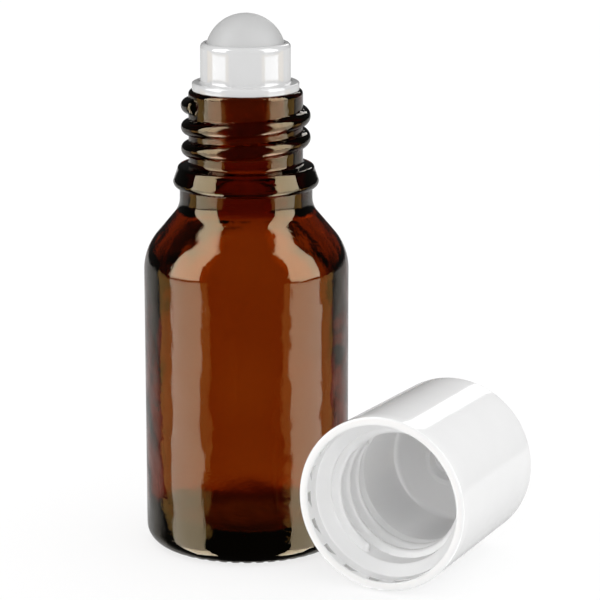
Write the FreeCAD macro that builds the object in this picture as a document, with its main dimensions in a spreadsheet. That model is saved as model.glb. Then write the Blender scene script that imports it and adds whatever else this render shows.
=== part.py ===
import FreeCAD, Part
import os
import re

import Sketcher
from FreeCAD import Placement, Rotation, Vector

# Roll on bottle: an amber glass bottle with a screw neck, a ball housing pressed into the neck,
# a ball that turns in the housing, and a screw cap that lies beside the bottle.
# Millimetres and degrees. The bottle stands on z = 0 with its axis on Z, and the cap lies along Y.

# Driving sizes, one spreadsheet cell each
SIZES = {
    # Bottle: body, base and shoulder
    "body_radius": 14.25,
    "body_side": 39.2,
    "glass_wall": 1.9,
    "heel_radius": 2.5,
    "bearing_width": 1.95,
    "push_up": 1.2,
    "base_thickness": 3.0,
    "inner_heel_radius": 3.2,
    "inner_floor_rise": 0.5,
    "shoulder_radius": 7.8,
    "shoulder_angle": 40.0,
    "neck_fillet": 3.4,
    "neck_radius": 9.2,
    "neck_straight": 1.5,
    "inner_shoulder_radius": 6.0,
    "inner_neck_fillet": 4.0,
    # Bottle: bead, neck finish and thread
    "bead_radius": 10.1,
    "bead_flank": 1.7,
    "bead_taper": 0.6,
    "bead_round": 0.5,
    "bead_slope": 0.3,
    "core_radius": 7.9,
    "core_height": 10.2,
    "lip_round": 0.6,
    "bore_radius": 5.65,
    "thread_crest_radius": 8.95,
    "thread_round": 1.1,
    "thread_pitch": 3.0,
    "thread_turns": 2.25,
    "thread_below_lip": 2.0,
    "thread_top_angle": 231.0,
    "thread_sink": 0.4,
    # Bottle: grip notches round the standing ring
    "notch_count": 48,
    "notch_radius": 0.45,
    "notch_run": 0.85,
    # Ball and its housing
    "ball_radius": 5.55,
    "ball_clearance": 0.07,
    "ball_below_rim": 1.55,
    "flange_radius": 7.4,
    "flange_thickness": 1.05,
    "flange_round": 0.25,
    "collar_radius": 6.22,
    "collar_height": 5.45,
    "collar_round": 0.65,
    "collar_foot_round": 0.35,
    "plug_length": 9.0,
    "plug_clearance": 0.25,
    "plug_lead": 0.7,
    "seal_clearance": 0.03,
    "seal_width": 1.0,
    "seal_spacing": 2.6,
    "flow_radius": 4.0,
    "flow_groove_count": 6,
    "flow_groove_radius": 0.5,
    "flow_groove_rise": 0.9,
    # Screw cap
    "cap_mouth_radius": 12.0,
    "cap_end_radius": 11.6,
    "cap_length": 26.5,
    "cap_end_thickness": 1.3,
    "cap_end_round": 0.8,
    "cap_rim_round": 0.25,
    "cap_rim_wall": 1.15,
    "cap_mouth_depth": 2.9,
    "cap_lead_depth": 1.4,
    "cap_root_clearance": 0.4,
    "cap_root_depth": 9.2,
    "cap_crest_radius": 8.35,
    "cap_thread_round": 0.8,
    "cap_thread_turns": 2.25,
    "cap_thread_start": 5.2,
    "cap_thread_angle": 120.0,
    "cap_chamber_radius": 8.75,
    "cap_chamber_round": 0.8,
    "cap_seal_ring_radius": 3.4,
    "cap_seal_ring_wall": 0.8,
    "cap_seal_ring_height": 2.0,
    "recess_count": 18,
    "recess_lip": 0.3,
    "recess_length": 2.3,
    "recess_depth": 0.5,
    "recess_height": 1.0,
    # Where the cap lies, and how far cuts run past the surface
    "cap_gap": 0.5,
    "cap_floor_gap": 0.25,
    "cap_mouth_forward": 14.0,
    "overrun": 0.6,
}

# Sizes worked out from the driving ones, in a second sheet of formulas
LEVELS = {
    "full_turn": "360",
    "standing_radius": "body_radius - heel_radius",
    "push_up_radius": "standing_radius - bearing_width",
    "push_up_sphere": "(push_up_radius ^ 2 + push_up ^ 2) / (2 * push_up)",
    "inner_radius": "body_radius - glass_wall",
    "inner_floor_radius": "inner_radius - inner_heel_radius",
    "inner_floor_sphere": "(inner_floor_radius ^ 2 + inner_floor_rise ^ 2) / (2 * inner_floor_rise)",
    "outer_bends": "shoulder_radius + neck_fillet",
    "inner_bends": "inner_shoulder_radius + inner_neck_fillet",
    "bend_share": "1 - cos(shoulder_angle)",
    "neck_level": "body_side + outer_bends * sin(shoulder_angle)"
                  " + (body_radius - neck_radius - outer_bends * bend_share) / tan(shoulder_angle)",
    "bore_level": "body_side + inner_bends * sin(shoulder_angle)"
                  " + (inner_radius - bore_radius - inner_bends * bend_share) / tan(shoulder_angle)",
    "bead_level": "neck_level + neck_straight",
    "bead_under": "bead_radius - neck_radius",
    "bead_top_radius": "bead_radius - bead_taper",
    "bead_top_level": "bead_level + bead_under + bead_flank",
    "core_level": "bead_top_level + bead_round + bead_slope",
    "lip_level": "core_level + core_height",
    "thread_low_level": "lip_level - thread_below_lip - thread_pitch * thread_turns",
    "thread_low_angle": "thread_top_angle - full_turn * thread_turns",
    "plug_radius": "bore_radius - plug_clearance",
    "seal_radius": "bore_radius - seal_clearance",
    "seal_bulge": "(seal_width ^ 2 / 4 + (seal_radius - plug_radius) ^ 2) / (2 * (seal_radius - plug_radius))",
    "socket_radius": "ball_radius + ball_clearance",
    "rim_level": "plug_length + flange_thickness + collar_height",
    "rim_radius": "sqrt(socket_radius ^ 2 - ball_below_rim ^ 2)",
    "ball_level": "rim_level - ball_below_rim",
    "seat_level": "ball_level - sqrt(socket_radius ^ 2 - flow_radius ^ 2)",
    "housing_level": "lip_level - plug_length",
    "cap_mouth_bore": "cap_mouth_radius - cap_rim_wall",
    "cap_root_radius": "thread_crest_radius + cap_root_clearance",
    "cap_lead_level": "cap_mouth_depth + cap_lead_depth",
    "cap_root_level": "cap_lead_level + cap_root_depth",
    "cap_chamber_level": "cap_root_level + cap_root_radius - cap_chamber_radius",
    "cap_inner_end": "cap_length - cap_end_thickness",
    "cap_ring_inner": "cap_seal_ring_radius - cap_seal_ring_wall",
    "cap_ring_level": "cap_inner_end - cap_seal_ring_height",
    "recess_tail": "sqrt(cap_mouth_bore ^ 2 - recess_length ^ 2)",
    "cap_draft": "atan((cap_mouth_radius - cap_end_radius) / cap_length) / (1 deg)",
}


def alias(text):
    """The same formula with every size written as a cell of its sheet."""
    def cell(match):
        word = match.group(0)
        if word in SIZES:
            return f"Sizes.{word}"
        if word in LEVELS:
            return f"Levels.{word}"
        return word
    return re.sub(r"[a-z][a-z_]*", cell, text)


def make_sheets(doc):
    """Two sheets: the driving sizes as plain numbers, and the levels as formulas on them."""
    sizes = doc.addObject("Spreadsheet::Sheet", "Sizes")
    for row, (name, value) in enumerate(SIZES.items(), start=1):
        sizes.set(f"A{row}", name)
        sizes.set(f"B{row}", str(value))
        sizes.setAlias(f"B{row}", name)
    levels = doc.addObject("Spreadsheet::Sheet", "Levels")
    for row, name in enumerate(LEVELS, start=1):
        levels.set(f"A{row}", name)
        levels.setAlias(f"B{row}", name)
    doc.recompute()
    for row, formula in enumerate(LEVELS.values(), start=1):
        levels.set(f"B{row}", "=" + alias(formula))
    doc.recompute()
    return sizes


def number(thing, formula):
    """The value of a formula, in millimetres or degrees."""
    value = thing.evalExpression(alias(formula))
    return float(getattr(value, "Value", value))


def bind(thing, prop, formula):
    """Ties one property to the sheets."""
    thing.setExpression(prop, alias(formula))


def make_body(doc, name):
    """An empty body whose label names the piece."""
    body = doc.addObject("PartDesign::Body", name)
    body.Label = name
    return body


def make_sketch(body, name, role):
    """A sketch on one of the body's own origin planes."""
    plane = next(item for item in body.Origin.OriginFeatures if item.Role == role)
    sketch = body.newObject("Sketcher::SketchObject", name)
    sketch.AttachmentSupport = (plane, [""])
    sketch.MapMode = "FlatFace"
    return sketch


def turn_sketch(sketch, angle, level):
    """Turns an upright sketch about the piece's axis and lifts its origin to a level."""
    sketch.AttachmentOffset = Placement(Vector(), Rotation(Vector(0, 1, 0), number(sketch, angle)))
    bind(sketch, "AttachmentOffset.Rotation.Angle", angle)
    bind(sketch, "AttachmentOffset.Base.y", level)


def arc_between(start, end, radius, turn):
    """A short arc from start to end; turn is +1 when it runs anticlockwise."""
    chord = end - start
    rise = max(radius ** 2 - chord.Length ** 2 / 4, 0) ** 0.5
    side = Vector(-chord.y, chord.x, 0).normalize()
    centre = (start + end) / 2 + side * rise * turn
    first, last = (start, end) if turn > 0 else (end, start)
    circle = Part.Circle(centre, Vector(0, 0, 1), radius)
    return Part.ArcOfCircle(circle, circle.parameter(first), circle.parameter(last))


def draw_outline(sketch, corners):
    """Draws a closed outline whose corners and arcs are tied to the sheets.

    Each corner is (x, y), or (x, y, radius, turn) where an arc leads to it from the corner before.
    """
    points = [Vector(number(sketch, c[0]), number(sketch, c[1]), 0) for c in corners]
    count = len(corners)
    ends = []
    for index, corner in enumerate(corners):
        start, end = points[index - 1], points[index]
        if len(corner) == 2:
            sketch.addGeometry(Part.LineSegment(start, end))
            ends.append((1, 2))
        else:
            radius, turn = corner[2], corner[3]
            sketch.addGeometry(arc_between(start, end, number(sketch, radius), turn))
            ends.append((1, 2) if turn > 0 else (2, 1))
    for index in range(count):
        after = (index + 1) % count
        sketch.addConstraint(Sketcher.Constraint("Coincident", index, ends[index][1], after, ends[after][0]))
    for index, corner in enumerate(corners):
        for kind, axis, formula, place in (
            ("DistanceX", -2, corner[0], points[index].x),
            ("DistanceY", -1, corner[1], points[index].y),
        ):
            spot = (index, ends[index][1])
            if formula == "0":
                sketch.addConstraint(Sketcher.Constraint("PointOnObject", *spot, axis))
            else:
                tie(sketch, Sketcher.Constraint(kind, -1, 1, *spot, place), formula)
        if len(corner) == 4:
            tie(sketch, Sketcher.Constraint("Radius", index, number(sketch, corner[2])), corner[2])


def draw_circle(sketch, x, y, radius):
    """Draws one circle whose centre and radius are tied to the sheets."""
    centre = Vector(number(sketch, x), number(sketch, y), 0)
    sketch.addGeometry(Part.Circle(centre, Vector(0, 0, 1), number(sketch, radius)))
    tie(sketch, Sketcher.Constraint("Radius", 0, number(sketch, radius)), radius)
    for kind, axis, formula, place in (("DistanceX", -2, x, centre.x), ("DistanceY", -1, y, centre.y)):
        if formula == "0":
            sketch.addConstraint(Sketcher.Constraint("PointOnObject", 0, 3, axis))
        else:
            tie(sketch, Sketcher.Constraint(kind, -1, 1, 0, 3, place), formula)


def tie(sketch, constraint, formula):
    """Adds one dimension to a sketch and binds it to a formula."""
    bind(sketch, f"Constraints[{sketch.addConstraint(constraint)}]", formula)


def revolve(body, name, corners):
    """Turns an outline in the XZ plane once round the piece's axis."""
    sketch = make_sketch(body, name + "_outline", "XZ_Plane")
    draw_outline(sketch, corners)
    solid = body.newObject("PartDesign::Revolution", name)
    solid.Profile = sketch
    solid.ReferenceAxis = (sketch, ["V_Axis"])
    bind(solid, "Angle", "full_turn")
    body.Document.recompute()
    return solid


def wind_thread(body, name, section, angle, level, turns):
    """Winds a right-hand ridge round the piece's axis, upwards from an angle and a level."""
    sketch = make_sketch(body, name + "_section", "XZ_Plane")
    turn_sketch(sketch, angle, level)
    draw_outline(sketch, section)
    ridge = body.newObject("PartDesign::AdditiveHelix", name)
    ridge.Profile = sketch
    ridge.ReferenceAxis = (sketch, ["V_Axis"])
    ridge.Mode = "pitch-turns-angle"
    bind(ridge, "Pitch", "thread_pitch")
    bind(ridge, "Turns", turns)
    body.Document.recompute()
    return ridge


def round_end(body, name, half_section, angle, level, forward):
    """Closes an end of a ridge with half a turn of its section about its radial middle line."""
    sketch = make_sketch(body, name + "_section", "XZ_Plane")
    turn_sketch(sketch, angle, level)
    draw_outline(sketch, half_section)
    dome = body.newObject("PartDesign::Revolution", name)
    dome.Profile = sketch
    dome.ReferenceAxis = (sketch, ["H_Axis"])
    bind(dome, "Angle", "full_turn / 2")
    dome.Reversed = forward
    body.Document.recompute()
    return dome


def cut_round(body, name, sketch, length, count):
    """Cuts a sketch along its normal, repeats the cut round the axis, and checks that glass or plastic went."""
    before = body.Tip.Shape.Volume
    cut = body.newObject("PartDesign::Pocket", name)
    cut.Profile = sketch
    cut.Reversed = True
    bind(cut, "Length", length)
    body.Document.recompute()
    single = before - cut.Shape.Volume
    ring = body.newObject("PartDesign::PolarPattern", name + "_ring")
    ring.Originals = [cut]
    ring.Axis = (next(item for item in body.Origin.OriginFeatures if item.Role == "Z_Axis"), [""])
    bind(ring, "Angle", "full_turn")
    bind(ring, "Occurrences", count)
    body.Tip = ring
    body.Document.recompute()
    removed = before - ring.Shape.Volume
    if single <= 0 or abs(removed / (single * number(ring, count)) - 1) > 0.05:
        raise RuntimeError(f"{name} took {removed} away, and {single} for one cut")


def build_bottle(doc):
    """Glass bottle: body with shoulder, neck bead and lip, screw thread, and notched standing ring."""
    body = make_body(doc, "glass_bottle")
    revolve(body, "bottle_glass", [
        # Underside: push-up, standing ring and heel
        ("0", "push_up"),
        ("push_up_radius", "0", "push_up_sphere", -1),
        ("standing_radius", "0"),
        ("body_radius", "heel_radius", "heel_radius", 1),
        # Side and shoulder, up to the neck
        ("body_radius", "body_side"),
        ("body_radius - shoulder_radius * bend_share", "body_side + shoulder_radius * sin(shoulder_angle)",
         "shoulder_radius", 1),
        ("neck_radius + neck_fillet * bend_share", "neck_level - neck_fillet * sin(shoulder_angle)"),
        ("neck_radius", "neck_level", "neck_fillet", -1),
        ("neck_radius", "bead_level"),
        # Bead with a rounded underside and a tapered flank
        ("bead_radius", "bead_level + bead_under", "bead_under", 1),
        ("bead_top_radius", "bead_top_level"),
        ("bead_top_radius - bead_round", "bead_top_level + bead_round", "bead_round", 1),
        ("core_radius", "core_level"),
        # Neck core and lip
        ("core_radius", "lip_level - lip_round"),
        ("core_radius - lip_round", "lip_level", "lip_round", 1),
        ("bore_radius", "lip_level"),
        # Bore, inner shoulder, inner wall and floor
        ("bore_radius", "bore_level"),
        ("bore_radius + inner_neck_fillet * bend_share",
         "bore_level - inner_neck_fillet * sin(shoulder_angle)", "inner_neck_fillet", 1),
        ("inner_radius - inner_shoulder_radius * bend_share",
         "body_side + inner_shoulder_radius * sin(shoulder_angle)"),
        ("inner_radius", "body_side", "inner_shoulder_radius", -1),
        ("inner_radius", "base_thickness + inner_heel_radius"),
        ("inner_floor_radius", "base_thickness", "inner_heel_radius", -1),
        ("0", "base_thickness + inner_floor_rise", "inner_floor_sphere", 1),
    ])
    root = "core_radius - thread_sink"
    middle = "thread_crest_radius - thread_round"
    crest = ("thread_crest_radius", "0")
    upper = [(middle, "thread_round", "thread_round", 1), (root, "thread_round")]
    wind_thread(body, "neck_thread", [
        (root, "-thread_round"),
        (middle, "-thread_round"),
        crest + ("thread_round", 1),
        *upper,
    ], "thread_low_angle", "thread_low_level", "thread_turns")
    half = [(root, "0"), crest, *upper]
    round_end(body, "thread_low_end", half, "thread_low_angle", "thread_low_level", False)
    round_end(body, "thread_top_end", half, "thread_top_angle", "lip_level - thread_below_lip", True)
    notch = make_sketch(body, "notch_section", "YZ_Plane")
    bind(notch, "AttachmentOffset.Base.z", "standing_radius - notch_run")
    draw_circle(notch, "0", "0", "notch_radius")
    cut_round(body, "standing_notch", notch, "notch_run + heel_radius + overrun", "notch_count")
    return body


def build_housing(doc):
    """Ball housing: plug with two sealing beads, flange on the lip, and a collar that snaps over the ball."""
    body = make_body(doc, "ball_housing")
    low_seal = "plug_lead + seal_width"
    high_seal = "plug_lead + seal_width + seal_spacing"
    revolve(body, "housing_body", [
        ("flow_radius", "0"),
        ("plug_radius - plug_lead / 2", "0"),
        ("plug_radius", "plug_lead"),
        # Two sealing beads that grip the bore
        ("plug_radius", low_seal),
        ("plug_radius", low_seal + " + seal_width", "seal_bulge", 1),
        ("plug_radius", high_seal),
        ("plug_radius", high_seal + " + seal_width", "seal_bulge", 1),
        # Flange
        ("plug_radius", "plug_length"),
        ("flange_radius", "plug_length"),
        ("flange_radius", "plug_length + flange_thickness - flange_round"),
        ("flange_radius - flange_round", "plug_length + flange_thickness", "flange_round", 1),
        # Collar
        ("collar_radius + collar_foot_round", "plug_length + flange_thickness"),
        ("collar_radius", "plug_length + flange_thickness + collar_foot_round", "collar_foot_round", -1),
        ("collar_radius", "rim_level - collar_round"),
        ("collar_radius - collar_round", "rim_level", "collar_round", 1),
        # Round socket from the rim past the ball's waist to the seat
        ("rim_radius", "rim_level"),
        ("socket_radius", "ball_level", "socket_radius", -1),
        ("flow_radius", "seat_level", "socket_radius", -1),
    ])
    groove = make_sketch(body, "flow_groove_section", "XY_Plane")
    draw_circle(groove, "flow_radius", "0", "flow_groove_radius")
    cut_round(body, "flow_groove", groove, "seat_level + flow_groove_rise", "flow_groove_count")
    bind(body, "Placement.Base.z", "housing_level")
    return body


def build_ball(doc):
    """Ball that rolls in the housing's socket."""
    ball = doc.addObject("Part::Sphere", "roller_ball")
    ball.Label = "roller_ball"
    bind(ball, "Radius", "ball_radius")
    bind(ball, "Placement.Base.z", "housing_level + ball_level")
    return ball


def build_cap(doc):
    """Screw cap: drafted shell with a stepped, threaded inside, a ring that seals on the ball, and recesses."""
    body = make_body(doc, "screw_cap")
    revolve(body, "cap_shell", [
        # Rim and outside
        ("cap_mouth_bore", "0"),
        ("cap_mouth_radius - cap_rim_round", "0"),
        ("cap_mouth_radius", "cap_rim_round", "cap_rim_round", 1),
        ("cap_end_radius", "cap_length - cap_end_round"),
        ("cap_end_radius - cap_end_round", "cap_length", "cap_end_round", 1),
        ("0", "cap_length"),
        # Closed end with the sealing ring
        ("0", "cap_inner_end"),
        ("cap_ring_inner", "cap_inner_end"),
        ("cap_ring_inner", "cap_ring_level"),
        ("cap_seal_ring_radius", "cap_ring_level"),
        ("cap_seal_ring_radius", "cap_inner_end"),
        # Chamber, thread wall, lead-in and mouth
        ("cap_chamber_radius - cap_chamber_round", "cap_inner_end"),
        ("cap_chamber_radius", "cap_inner_end - cap_chamber_round", "cap_chamber_round", -1),
        ("cap_chamber_radius", "cap_chamber_level"),
        ("cap_root_radius", "cap_root_level"),
        ("cap_root_radius", "cap_lead_level"),
        ("cap_mouth_bore", "cap_mouth_depth"),
    ])
    root = "cap_root_radius + thread_sink"
    middle = "cap_crest_radius + cap_thread_round"
    crest = ("cap_crest_radius", "0")
    upper = [(middle, "cap_thread_round", "cap_thread_round", -1), (root, "cap_thread_round")]
    wind_thread(body, "cap_thread", [
        (root, "-cap_thread_round"),
        (middle, "-cap_thread_round"),
        crest + ("cap_thread_round", -1),
        *upper,
    ], "cap_thread_angle", "cap_thread_start", "cap_thread_turns")
    half = [(root, "0"), crest, *upper]
    top_angle = "cap_thread_angle + full_turn * cap_thread_turns"
    top_level = "cap_thread_start + thread_pitch * cap_thread_turns"
    round_end(body, "cap_thread_low_end", half, "cap_thread_angle", "cap_thread_start", False)
    round_end(body, "cap_thread_top_end", half, top_angle, top_level, True)
    recess = make_sketch(body, "recess_section", "XY_Plane")
    bind(recess, "AttachmentOffset.Base.z", "recess_lip")
    draw_outline(recess, [
        ("cap_mouth_bore - overrun", "0"),
        ("cap_mouth_bore + recess_depth", "0"),
        ("recess_tail", "-recess_length"),
        ("recess_tail - overrun", "-recess_length"),
    ])
    cut_round(body, "rim_recess", recess, "recess_height", "recess_count")
    # Lying on its side: the drafted wall is level along its whole length, a hair above the floor
    body.Placement = Placement(Vector(), Rotation(Vector(-1, 0, 0), number(body, "full_turn / 4 + cap_draft")))
    bind(body, "Placement.Rotation.Angle", "full_turn / 4 + cap_draft")
    bind(body, "Placement.Base.x", "body_radius + cap_gap + cap_mouth_radius")
    bind(body, "Placement.Base.y", "-cap_mouth_forward")
    bind(body, "Placement.Base.z", "cap_floor_gap + cap_mouth_radius * cos(cap_draft)")
    return body


def check(doc, pieces):
    """Stops on a failed feature, a broken solid or a piece in more than one lump."""
    for thing in doc.Objects:
        if "Invalid" in thing.State or "Error" in thing.State:
            raise RuntimeError(f"{thing.Label} failed: {thing.State}")
        if thing.isDerivedFrom("Sketcher::SketchObject") and not thing.FullyConstrained:
            raise RuntimeError(f"{thing.Label} is not fully constrained")
    for piece in pieces:
        if piece.Shape.isNull() or not piece.Shape.isValid() or len(piece.Shape.Solids) != 1:
            raise RuntimeError(f"{piece.Label} is not one valid solid")


def main():
    doc = FreeCAD.newDocument("roll_on_bottle")
    make_sheets(doc)
    pieces = [build_bottle(doc), build_housing(doc), build_ball(doc), build_cap(doc)]
    doc.recompute()
    check(doc, pieces)
    os.makedirs("parts", exist_ok=True)
    for piece in pieces:
        piece.Shape.exportStep(f"parts/{piece.Label}.step")
        box = piece.Shape.BoundBox
        print(piece.Label, "volume", round(piece.Shape.Volume, 2), "box", [round(v, 3) for v in (
            box.XMin, box.YMin, box.ZMin, box.XMax, box.YMax, box.ZMax)])


main()
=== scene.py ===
"""Roll on bottle: amber glass bottle, ball housing, ball and screw cap, dressed and lit as in a studio.

The pieces are drawn as half outlines in millimetres, turned about Z, shaped, and set down in metres in
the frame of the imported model.
"""

import logging
import math
from dataclasses import dataclass
from enum import Enum, IntEnum
from typing import Any, Callable, Optional, Union

import bmesh
import bpy
from mathutils import Matrix, Vector, noise


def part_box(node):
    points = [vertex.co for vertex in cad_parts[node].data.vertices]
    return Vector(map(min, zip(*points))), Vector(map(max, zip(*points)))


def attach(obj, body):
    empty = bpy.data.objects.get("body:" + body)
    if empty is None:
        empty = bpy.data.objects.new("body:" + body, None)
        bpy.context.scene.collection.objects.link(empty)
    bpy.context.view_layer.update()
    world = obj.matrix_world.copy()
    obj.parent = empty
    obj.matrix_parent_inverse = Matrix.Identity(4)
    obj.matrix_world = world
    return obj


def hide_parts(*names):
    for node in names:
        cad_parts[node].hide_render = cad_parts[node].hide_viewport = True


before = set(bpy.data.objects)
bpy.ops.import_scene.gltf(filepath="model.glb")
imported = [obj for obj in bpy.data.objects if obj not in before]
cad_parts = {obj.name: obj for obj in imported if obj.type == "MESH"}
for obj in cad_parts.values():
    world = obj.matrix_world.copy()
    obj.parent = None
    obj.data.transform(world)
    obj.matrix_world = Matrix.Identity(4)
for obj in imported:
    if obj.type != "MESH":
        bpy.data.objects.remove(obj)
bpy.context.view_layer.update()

MM = 0.001
MERGE_GAP = 0.004
ZONE_LAYER = "zone"

log = logging.getLogger("roll_on_bottle")


class Zone(IntEnum):
    """The stretch of a turned outline that a vertex belongs to."""

    PLAIN = 0
    STANDING = 1
    THREAD = 2
    INSIDE = 3
    RECESS = 4
    GROOVE = 5


class Side(Enum):
    """The side of the camera's axis on which a softbox stands."""

    LEFT = -1
    RIGHT = 1


class Turn(IntEnum):
    """The way an arc bends, seen with the radius to the right: left is anticlockwise."""

    LEFT = 1
    RIGHT = -1


def soft_max(first: float, second: float, blend: float) -> float:
    """Gives the larger of two lengths, with a fillet where they meet.

    Args:
        first: One length.
        second: The other length.
        blend: How far apart the lengths may be and still be blended.

    Returns:
        The larger length, raised a little where the two are close.
    """
    overlap = max(blend - abs(first - second), 0.0)
    return max(first, second) + overlap * overlap / (4 * blend)


class Pen:
    """Draws a half outline in the XZ plane, in millimetres, and turns it about Z."""

    def __init__(self, radius: float, level: float) -> None:
        """Sets the pen down on a new mesh.

        Args:
            radius: Distance from the axis at the outline's start.
            level: Height at the outline's start.
        """
        self.mesh = bmesh.new()
        self.zones = self.mesh.verts.layers.int.new(ZONE_LAYER)
        self.zone = Zone.PLAIN
        self.tip = self.mesh.verts.new((radius, 0, level))
        self.first = self.tip

    def _reach(self, tip: bmesh.types.BMVert) -> None:
        """Moves the pen to a vertex and marks it with the current zone."""
        self.tip = tip
        tip[self.zones] = int(self.zone)

    def line(self, radius: float, level: float, step: Optional[float] = None) -> "Pen":
        """Draws a straight run.

        Args:
            radius: Distance from the axis at the run's end.
            level: Height at the run's end.
            step: The longest row that the run is cut into, or None for one row.

        Returns:
            The pen, so that strokes can follow each other.
        """
        start, end = self.tip.co.copy(), Vector((radius, 0, level))
        rows = math.ceil((end - start).length / step) if step else 1
        for row in range(1, rows + 1):
            drawn = bmesh.ops.extrude_vert_indiv(self.mesh, verts=[self.tip])
            drawn["verts"][0].co = start.lerp(end, row / rows)
            self._reach(drawn["verts"][0])
        return self

    def arc(self, radius: float, level: float, bend: float, turn: Turn, rows: int = 8) -> "Pen":
        """Draws a round stretch.

        Args:
            radius: Distance from the axis at the arc's end.
            level: Height at the arc's end.
            bend: The arc's own radius.
            turn: Which way the arc bends.
            rows: Rows that the arc is cut into.

        Returns:
            The pen.
        """
        start, end = self.tip.co.copy(), Vector((radius, 0, level))
        chord = end - start
        rise = math.sqrt(max(bend * bend - chord.length_squared / 4, 0.0))
        across = Vector((-chord.z, 0, chord.x)).normalized()
        spun = bmesh.ops.spin(
            self.mesh, geom=[self.tip], cent=(start + end) / 2 + across * rise * turn, axis=(0, -turn, 0),
            angle=2 * math.asin(min(chord.length / (2 * bend), 1.0)), steps=rows)
        last = next(item for item in spun["geom_last"] if isinstance(item, bmesh.types.BMVert))
        last.co = end
        self._reach(last)
        return self

    def bend_at(self, corner: tuple[float, float], towards: tuple[float, float], bend: float, rows: int = 4,
                step: Optional[float] = None) -> "Pen":
        """Draws a run to a corner and rounds the corner towards the next one.

        Args:
            corner: Radius and level of the corner.
            towards: Radius and level of the corner after it.
            bend: The radius of the rounding.
            rows: Rows that the rounding is cut into.
            step: The longest row of the run.

        Returns:
            The pen, at the end of the rounding.
        """
        spot = Vector((corner[0], 0, corner[1]))
        into = (spot - self.tip.co).normalized()
        out = (Vector((towards[0], 0, towards[1])) - spot).normalized()
        reach = bend * math.tan(into.angle(out) / 2)
        before, after = spot - into * reach, spot + out * reach
        turn = Turn.LEFT if into.x * out.z > into.z * out.x else Turn.RIGHT
        return self.line(before.x, before.z, step).arc(after.x, after.z, bend, turn, rows)

    def close(self) -> "Pen":
        """Joins the pen's last point to its first one."""
        self.mesh.edges.new((self.tip, self.first))
        return self

    def turn(self, columns: int) -> bmesh.types.BMesh:
        """Turns the outline once round Z.

        Args:
            columns: Steps of the turn.

        Returns:
            The turned mesh, with its seam merged and its poles still open.
        """
        bmesh.ops.spin(
            self.mesh, geom=self.mesh.verts[:] + self.mesh.edges[:], cent=(0, 0, 0), axis=(0, 0, 1),
            angle=math.tau, steps=columns, use_merge=True)
        return self.mesh


def reshape(mesh: bmesh.types.BMesh, zone: Zone,
            shape: Callable[[float, float, float], tuple[float, float]]) -> None:
    """Moves the vertices of one zone along their radius and their height.

    Args:
        mesh: A turned mesh.
        zone: The zone whose vertices move.
        shape: Takes a vertex's angle, radius and level, and gives its new radius and level.
    """
    zones = mesh.verts.layers.int[ZONE_LAYER]
    for vert in mesh.verts:
        if vert[zones] == zone:
            angle = math.atan2(vert.co.y, vert.co.x)
            radius, level = shape(angle, math.hypot(vert.co.x, vert.co.y), vert.co.z)
            vert.co = (radius * math.cos(angle), radius * math.sin(angle), level)


@dataclass(frozen=True)
class ScrewRidge:
    """A round-backed screw ridge on a turned wall, in millimetres and degrees."""

    low_level: float
    low_angle: float
    turns: float
    pitch: float
    half_width: float
    rise: float
    fillet: float = 0.28
    flank: float = 3.0

    def gap(self, angle: float, level: float, radius: float) -> float:
        """Measures along the wall to the ridge's middle line, with round ends.

        Args:
            angle: Angle of a point on the wall, in radians.
            level: Its height.
            radius: The wall's radius.

        Returns:
            The shortest distance on the unrolled wall.
        """
        lead = (angle - math.radians(self.low_angle)) % math.tau
        whole = self.turns * math.tau
        gaps = []
        for lap in range(-1, math.ceil(self.turns) + 1):
            run = lead + lap * math.tau
            along = min(max(run, 0.0), whole)
            up = level - self.low_level - self.pitch * along / math.tau
            gaps.append(math.hypot((run - along) * radius, up))
        return min(gaps)

    def height(self, angle: float, level: float, radius: float) -> float:
        """Gives how far the ridge stands off the wall at a point.

        Args:
            angle: Angle of the point, in radians.
            level: Its height.
            radius: The wall's radius.

        Returns:
            The height above the wall, zero away from the ridge.
        """
        gap = self.gap(angle, level, radius)
        back = math.sqrt(max(self.half_width ** 2 - gap ** 2, 0.0)) - self.half_width
        return soft_max(self.rise + back - self.flank * max(gap - self.half_width, 0.0), 0.0, self.fillet)


def set_down(mesh: bmesh.types.BMesh, name: str, place: Matrix, material: bpy.types.Material, body: str,
             sharp_angle: float = 38.0) -> bpy.types.Object:
    """Closes a mesh, brings it to metres and to its place, and rides it on a body in place of its node.

    Args:
        mesh: The shaped mesh in millimetres, which is freed.
        name: The node that the piece stands for, with its own name after it.
        place: Where the piece goes in the frame, in millimetres.
        material: The finish.
        body: The body that carries the piece.
        sharp_angle: Edges that bend more than this, in degrees, stay sharp.

    Returns:
        The finished object, at the origin.
    """
    bmesh.ops.remove_doubles(mesh, verts=mesh.verts[:], dist=MERGE_GAP)
    bmesh.ops.dissolve_degenerate(mesh, edges=mesh.edges[:], dist=MERGE_GAP)
    bmesh.ops.recalc_face_normals(mesh, faces=mesh.faces[:])
    bmesh.ops.transform(mesh, matrix=Matrix.Scale(MM, 4) @ place, verts=mesh.verts[:])
    loose = sum(1 for edge in mesh.edges if len(edge.link_faces) != 2)
    for face in mesh.faces:
        face.smooth = True
    data = bpy.data.meshes.new(name + "_skin")
    mesh.to_mesh(data)
    mesh.free()
    data.set_sharp_from_angle(angle=math.radians(sharp_angle))
    data.materials.append(material)
    piece = bpy.data.objects.new(name + "_skin", data)
    bpy.context.scene.collection.objects.link(piece)
    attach(piece, body)
    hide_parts(name)
    log.info("%s: %d faces, %d open edges, on body %s", piece.name, len(data.polygons), loose, body)
    return piece


Operand = Union["Field", float]
Colour = tuple[float, float, float, float]

WHITE: Colour = (1.0, 1.0, 1.0, 1.0)


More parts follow.
